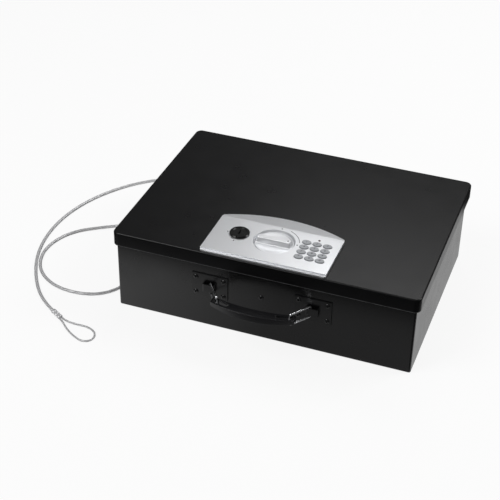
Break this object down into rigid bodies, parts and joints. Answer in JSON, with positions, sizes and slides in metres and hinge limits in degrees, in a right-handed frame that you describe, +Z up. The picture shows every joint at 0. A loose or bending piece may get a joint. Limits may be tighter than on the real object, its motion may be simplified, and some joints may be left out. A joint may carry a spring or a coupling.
{
  "type": "portable security box",
  "caption": "Lidded steel cash box with a keypad lock fascia, turning knob, key override, sliding bolts, fold-flat carry handle and a tether cable with an eye.",
  "frame": {"origin": "on the floor plane under the middle of the lid's plan", "axes": "+X to the right seen from the front, +Y towards the hinge at the back, +Z up"},
  "size_m": [0.5165, 0.37, 0.1133],
  "materials": {
    "charcoal_paint": "semi-gloss black powder coat",
    "black_paint": "satin black paint",
    "bright_steel": "bright plated wire and bar",
    "zinc_steel": "zinc plated sheet",
    "rivet_steel": "dark plated blind rivets",
    "silver_plastic": "silver paint on moulded plastic",
    "key_grey": "grey moulded keys",
    "key_rubber": "moulded silicone",
    "black_plastic": "fine-grained black moulding",
    "grip_plastic": "satin black moulding",
    "grommet_rubber": "soft black moulding",
    "lock_brass": "turned brass",
    "board": "coated circuit board",
    "lamp": "tinted lens",
    "cell_jacket": "plain grey jacket",
    "felt": "dense felt",
    "cable_vinyl": "clear vinyl over steel wire rope",
    "ferrule_aluminium": "pressed sleeve",
    "eye_wire": "bare wire rope"
  },
  "bodies": {
    "case": {"case_shell": "charcoal_paint", "floor_mat": "felt", "strike_bracket": "zinc_steel", "strike_rivet": "rivet_steel", "handle_bracket_left": "black_paint", "handle_bracket_right": "black_paint", "handle_rivets": "rivet_steel", "hinge_leaf_case": "zinc_steel", "hinge_pin": "bright_steel", "cable_grommet": "grommet_rubber", "cable_stop": "ferrule_aluminium", "tether_cable": "cable_vinyl", "tether_ferrule": "ferrule_aluminium", "tether_eye": "eye_wire"},
    "lid": {"lid_shell": "charcoal_paint", "hinge_leaf_lid": "zinc_steel", "lock_fascia": "silver_plastic", "fascia_screws": "zinc_steel", "keypad_mat": "key_rubber", "keypad_board": "board", "status_led": "lamp", "knob_bush": "lock_brass", "key_barrel": "lock_brass", "key_barrel_nut": "lock_brass", "solenoid": "zinc_steel", "lock_chassis": "zinc_steel", "battery_tray": "black_plastic", "batteries": "cell_jacket", "battery_contacts": "zinc_steel", "lock_cover": "black_plastic", "cover_standoffs": "zinc_steel", "cover_screws": "zinc_steel"},
    "knob": {"lock_knob": "silver_plastic", "knob_spindle": "bright_steel", "drive_cam": "zinc_steel"},
    "bolts": {"bolt_carriage": "zinc_steel", "lock_bolts": "bright_steel"},
    "override": {"key_plug": "black_plastic", "key_cam": "zinc_steel"},
    "plunger": {"solenoid_plunger": "bright_steel"},
    "door": {"battery_door": "black_plastic"},
    "grip": {"handle_grip": "grip_plastic"},
    "link_left": {"handle_link_left": "bright_steel"},
    "link_right": {"handle_link_right": "bright_steel"},
    "body_key_1": {"key_1": "key_grey"},
    "body_key_2": {"key_2": "key_grey"},
    "body_key_3": {"key_3": "key_grey"},
    "body_key_4": {"key_4": "key_grey"},
    "body_key_5": {"key_5": "key_grey"},
    "body_key_6": {"key_6": "key_grey"},
    "body_key_7": {"key_7": "key_grey"},
    "body_key_8": {"key_8": "key_grey"},
    "body_key_9": {"key_9": "key_grey"},
    "body_key_star": {"key_star": "key_grey"},
    "body_key_0": {"key_0": "key_grey"},
    "body_key_hash": {"key_hash": "key_grey"}
  },
  "joints": [
    {"name": "lid_hinge", "type": "hinge", "parent": "case", "child": "lid", "pos_m": [0, 0.127, 0.0897], "axis": [-1, 0, 0], "range_deg": [0, 105]},
    {"name": "knob_turn", "type": "hinge", "parent": "lid", "child": "knob", "pos_m": [0, -0.087, 0.1], "axis": [0, 0, 1], "range_deg": [0, 90]},
    {"name": "bolt_slide", "type": "slide", "parent": "lid", "child": "bolts", "axis": [0, -1, 0], "range_m": [0, 0.012]},
    {"name": "override_turn", "type": "hinge", "parent": "lid", "child": "override", "pos_m": [-0.0426, -0.086, 0.1], "axis": [0, 0, -1], "range_deg": [0, 90]},
    {"name": "plunger_slide", "type": "slide", "parent": "lid", "child": "plunger", "axis": [-1, 0, 0], "range_m": [0, 0.003]},
    {"name": "battery_door_slide", "type": "slide", "parent": "lid", "child": "door", "axis": [0, 0, -1], "range_m": [0, 0.03]},
    {"name": "handle_slide", "type": "slide", "parent": "case", "child": "grip", "axis": [0, 1, 0], "range_m": [0, 0.0165]},
    {"name": "link_right_swing", "type": "hinge", "parent": "case", "child": "link_right", "pos_m": [0.061, -0.13175, 0.0575], "axis": [0, 0, -1], "range_deg": [0, 33.94]},
    {"name": "link_left_swing", "type": "hinge", "parent": "case", "child": "link_left", "pos_m": [-0.061, -0.13175, 0.0575], "axis": [0, 0, 1], "range_deg": [0, 33.94]},
    {"name": "key_1_press", "type": "slide", "parent": "lid", "child": "body_key_1", "axis": [0, 0, -1], "range_m": [0, 0.001], "stiffness_N_per_m": 400},
    {"name": "key_2_press", "type": "slide", "parent": "lid", "child": "body_key_2", "axis": [0, 0, -1], "range_m": [0, 0.001], "stiffness_N_per_m": 400},
    {"name": "key_3_press", "type": "slide", "parent": "lid", "child": "body_key_3", "axis": [0, 0, -1], "range_m": [0, 0.001], "stiffness_N_per_m": 400},
    {"name": "key_4_press", "type": "slide", "parent": "lid", "child": "body_key_4", "axis": [0, 0, -1], "range_m": [0, 0.001], "stiffness_N_per_m": 400},
    {"name": "key_5_press", "type": "slide", "parent": "lid", "child": "body_key_5", "axis": [0, 0, -1], "range_m": [0, 0.001], "stiffness_N_per_m": 400},
    {"name": "key_6_press", "type": "slide", "parent": "lid", "child": "body_key_6", "axis": [0, 0, -1], "range_m": [0, 0.001], "stiffness_N_per_m": 400},
    {"name": "key_7_press", "type": "slide", "parent": "lid", "child": "body_key_7", "axis": [0, 0, -1], "range_m": [0, 0.001], "stiffness_N_per_m": 400},
    {"name": "key_8_press", "type": "slide", "parent": "lid", "child": "body_key_8", "axis": [0, 0, -1], "range_m": [0, 0.001], "stiffness_N_per_m": 400},
    {"name": "key_9_press", "type": "slide", "parent": "lid", "child": "body_key_9", "axis": [0, 0, -1], "range_m": [0, 0.001], "stiffness_N_per_m": 400},
    {"name": "key_star_press", "type": "slide", "parent": "lid", "child": "body_key_star", "axis": [0, 0, -1], "range_m": [0, 0.001], "stiffness_N_per_m": 400},
    {"name": "key_0_press", "type": "slide", "parent": "lid", "child": "body_key_0", "axis": [0, 0, -1], "range_m": [0, 0.001], "stiffness_N_per_m": 400},
    {"name": "key_hash_press", "type": "slide", "parent": "lid", "child": "body_key_hash", "axis": [0, 0, -1], "range_m": [0, 0.001], "stiffness_N_per_m": 400}
  ],
  "couplings": [
    {"joint": "bolt_slide", "follows": "knob_turn", "m_per_rad": 0.0076394},
    {"joint": "plunger_slide", "follows": "override_turn", "m_per_rad": 0.0019099},
    {"joint": "link_right_swing", "follows": "handle_slide", "rad_per_m": 35.888},
    {"joint": "link_left_swing", "follows": "handle_slide", "rad_per_m": 35.888}
  ]
}
